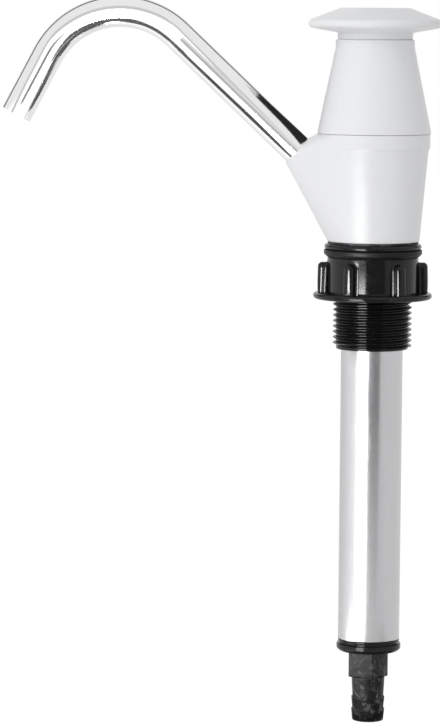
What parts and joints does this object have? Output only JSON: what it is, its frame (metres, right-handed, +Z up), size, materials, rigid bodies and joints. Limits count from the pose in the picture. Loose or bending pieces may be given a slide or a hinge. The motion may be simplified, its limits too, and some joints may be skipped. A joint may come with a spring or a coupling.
{
  "type": "water jug hand pump",
  "caption": "Up-and-down hand pump with a bent swivel spout, a threaded mounting tail with nut, a long barrel and a hose tail.",
  "frame": {"origin": "on the pump's axis, in the underside of the shoulder that the seal washer bears on", "axes": "+Z up along the pump's axis towards the knob; -X towards the spout's outlet at rest"},
  "size_m": [0.1836, 0.056, 0.3057],
  "materials": {
    "white_plastic": "smooth white moulding, slightly glossy",
    "black_plastic": "smooth black moulding",
    "dark_plastic": "rough dark moulding",
    "inner_plastic": "acetal, natural white",
    "spout_metal": "bright polished tube",
    "barrel_metal": "satin drawn tube",
    "steel": "ground stainless steel",
    "brass": "turned brass",
    "rubber": "black nitrile rubber"
  },
  "bodies": {
    "sleeve": {"mounting_sleeve": "black_plastic", "swivel_washer": "dark_plastic", "swivel_seal": "rubber", "snap_ring": "steel", "barrel_gasket": "rubber", "barrel_tube": "barrel_metal", "foot_plug": "dark_plastic", "foot_plug_seal": "rubber", "valve_cage": "inner_plastic"},
    "washer": {"seal_washer": "rubber"},
    "nut": {"fixing_nut": "black_plastic"},
    "head": {"lower_head": "white_plastic", "upper_cap": "white_plastic", "rod_guide": "inner_plastic", "rod_wiper": "rubber", "rod_seal": "rubber", "gland_nut": "brass", "spout": "spout_metal", "spout_seal": "rubber"},
    "plunger": {"knob": "white_plastic", "knob_plug": "white_plastic", "knob_screw": "steel", "plunger_rod": "steel", "stroke_stop": "dark_plastic", "valve_stop_washer": "steel", "piston_body": "inner_plastic", "piston_cup_seal": "rubber", "piston_nut": "steel"},
    "piston_valve": {"piston_valve_disc": "rubber"},
    "foot_valve": {"inlet_valve_ball": "steel"}
  },
  "joints": [
    {"name": "head_swivel", "type": "hinge", "parent": "sleeve", "child": "head", "pos_m": [0, 0, 0], "axis": [0, 0, 1], "continuous": true},
    {"name": "knob_lift", "type": "slide", "parent": "head", "child": "plunger", "axis": [0, 0, 1], "range_m": [0, 0.1]},
    {"name": "piston_valve_lift", "type": "slide", "parent": "plunger", "child": "piston_valve", "axis": [0, 0, 1], "range_m": [0, 0.002]},
    {"name": "foot_valve_lift", "type": "slide", "parent": "sleeve", "child": "foot_valve", "axis": [0, 0, 1], "range_m": [0, 0.0025]},
    {"name": "washer_travel", "type": "slide", "parent": "sleeve", "child": "washer", "axis": [0, 0, 1], "range_m": [-0.0185, 0]},
    {"name": "nut_turn", "type": "hinge", "parent": "washer", "child": "nut", "pos_m": [0, 0, 0], "axis": [0, 0, 1], "range_deg": [-2880, 0]}
  ],
  "couplings": [
    {"joint": "washer_travel", "follows": "nut_turn", "m_per_rad": 0.00036749}
  ]
}
